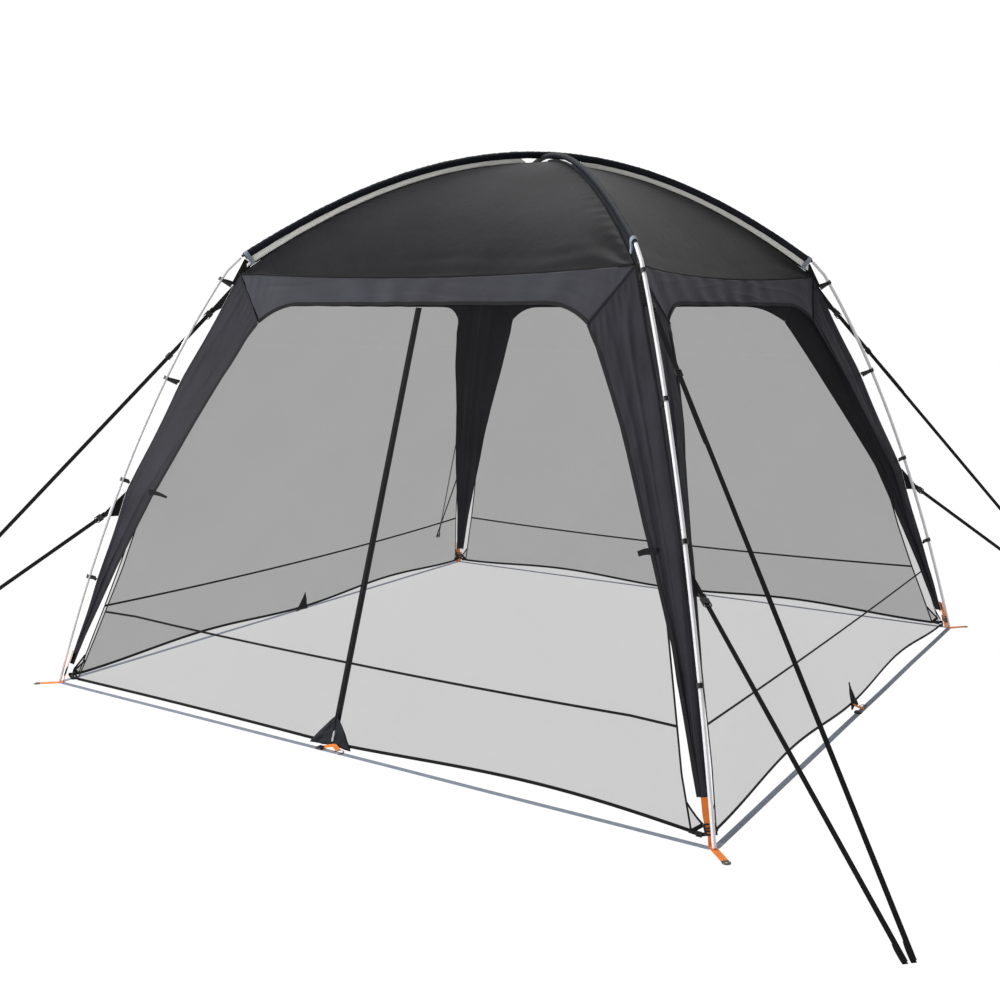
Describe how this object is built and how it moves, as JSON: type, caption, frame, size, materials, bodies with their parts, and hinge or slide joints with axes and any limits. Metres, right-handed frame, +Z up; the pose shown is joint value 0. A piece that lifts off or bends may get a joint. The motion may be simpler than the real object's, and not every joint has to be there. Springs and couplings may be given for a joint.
{
  "type": "screen house",
  "caption": "Square camping screen house on crossed hoop poles with bowed legs, dark domed roof, corner skirts, mesh walls, a zipped front door and webbing guys",
  "frame": {"origin": "middle of the footprint on the ground, guys left out", "axes": "+Z up, the door faces -Y, +X to the right of someone outside facing the door"},
  "size_m": [4.253, 4.1778, 2.2612],
  "materials": {
    "pole": "satin fibreglass",
    "leg": "white gloss powder coat on steel tube",
    "sleeve": "navy plain weave polyester",
    "roof": "charcoal coated polyester with a soft sheen",
    "skirt": "charcoal coated polyester",
    "mesh": "fine grey insect netting",
    "black_plastic": "moulded acetal",
    "black_webbing": "woven polypropylene webbing",
    "grey_webbing": "blue-grey woven polypropylene webbing",
    "orange_webbing": "orange woven polypropylene webbing",
    "zinc": "cast zinc"
  },
  "bodies": {
    "frame": {"roof_pole_a": "pole", "roof_pole_b": "pole", "pole_sleeves": "sleeve", "roof_panel_front": "roof", "roof_panel_right": "roof", "roof_panel_back": "roof", "roof_panel_left": "roof", "perimeter_strap_front": "grey_webbing", "perimeter_strap_right": "grey_webbing", "perimeter_strap_back": "grey_webbing", "perimeter_strap_left": "grey_webbing", "mesh_wall_right": "mesh", "mesh_wall_back": "mesh", "mesh_wall_left": "mesh", "leg_front_left": "leg", "leg_clip_front_left_1": "black_plastic", "leg_clip_front_left_2": "black_plastic", "leg_clip_front_left_3": "black_plastic", "leg_clip_front_left_4": "black_plastic", "foot_web_front_left": "orange_webbing", "guy_upper_front_left": "black_webbing", "guy_lower_front_left": "black_webbing", "corner_skirt_front_left": "skirt", "leg_front_right": "leg", "leg_clip_front_right_1": "black_plastic", "leg_clip_front_right_2": "black_plastic", "leg_clip_front_right_3": "black_plastic", "leg_clip_front_right_4": "black_plastic", "foot_web_front_right": "orange_webbing", "guy_upper_front_right": "black_webbing", "guy_lower_front_right": "black_webbing", "corner_skirt_front_right": "skirt", "leg_back_right": "leg", "leg_clip_back_right_1": "black_plastic", "leg_clip_back_right_2": "black_plastic", "leg_clip_back_right_3": "black_plastic", "leg_clip_back_right_4": "black_plastic", "foot_web_back_right": "orange_webbing", "guy_upper_back_right": "black_webbing", "guy_lower_back_right": "black_webbing", "corner_skirt_back_right": "skirt", "leg_back_left": "leg", "leg_clip_back_left_1": "black_plastic", "leg_clip_back_left_2": "black_plastic", "leg_clip_back_left_3": "black_plastic", "leg_clip_back_left_4": "black_plastic", "foot_web_back_left": "orange_webbing", "guy_upper_back_left": "black_webbing", "guy_lower_back_left": "black_webbing", "corner_skirt_back_left": "skirt", "front_mesh_left": "mesh", "front_mesh_right": "mesh"},
    "door_right": {"door_right": "mesh"},
    "door_left": {"door_left": "mesh"},
    "zip_slider": {"zip_slider": "zinc"},
    "zip_pull": {"zip_pull": "zinc"},
    "guy_runner_front_left": {"guy_runner_front_left": "black_plastic"},
    "guy_runner_front_right": {"guy_runner_front_right": "black_plastic"},
    "guy_runner_back_right": {"guy_runner_back_right": "black_plastic"},
    "guy_runner_back_left": {"guy_runner_back_left": "black_plastic"}
  },
  "joints": [
    {"name": "door_right_swing", "type": "hinge", "parent": "frame", "child": "door_right", "pos_m": [0, -0.90883, 1.59], "axis": [-0.6464, 0.2571, 0.7184], "range_deg": [0, 100]},
    {"name": "door_left_swing", "type": "hinge", "parent": "frame", "child": "door_left", "pos_m": [0, -0.90883, 1.59], "axis": [-0.6464, -0.2571, -0.7184], "range_deg": [0, 100]},
    {"name": "zip_slide", "type": "slide", "parent": "frame", "child": "zip_slider", "axis": [0, 0.3314, 0.9435], "range_m": [0, 1.52]},
    {"name": "zip_pull_swing", "type": "hinge", "parent": "zip_slider", "child": "zip_pull", "pos_m": [0, -1.45672, 0.059], "axis": [-1, 0, 0], "range_deg": [0, 150]},
    {"name": "guy_runner_front_left_slide", "type": "slide", "parent": "frame", "child": "guy_runner_front_left", "axis": [-0.4902, -0.4934, -0.7185], "range_m": [-0.2, 0.5]},
    {"name": "guy_runner_front_right_slide", "type": "slide", "parent": "frame", "child": "guy_runner_front_right", "axis": [0.538, -0.4, -0.742], "range_m": [-0.2, 0.5]},
    {"name": "guy_runner_back_right_slide", "type": "slide", "parent": "frame", "child": "guy_runner_back_right", "axis": [0.4934, 0.4902, -0.7185], "range_m": [-0.2, 0.5]},
    {"name": "guy_runner_back_left_slide", "type": "slide", "parent": "frame", "child": "guy_runner_back_left", "axis": [-0.4934, 0.4902, -0.7185], "range_m": [-0.2, 0.5]}
  ],
  "couplings": [
    {"joint": "door_left_swing", "follows": "door_right_swing", "ratio": 1},
    {"joint": "zip_slide", "follows": "door_right_swing", "m_per_rad": 0.87}
  ]
}
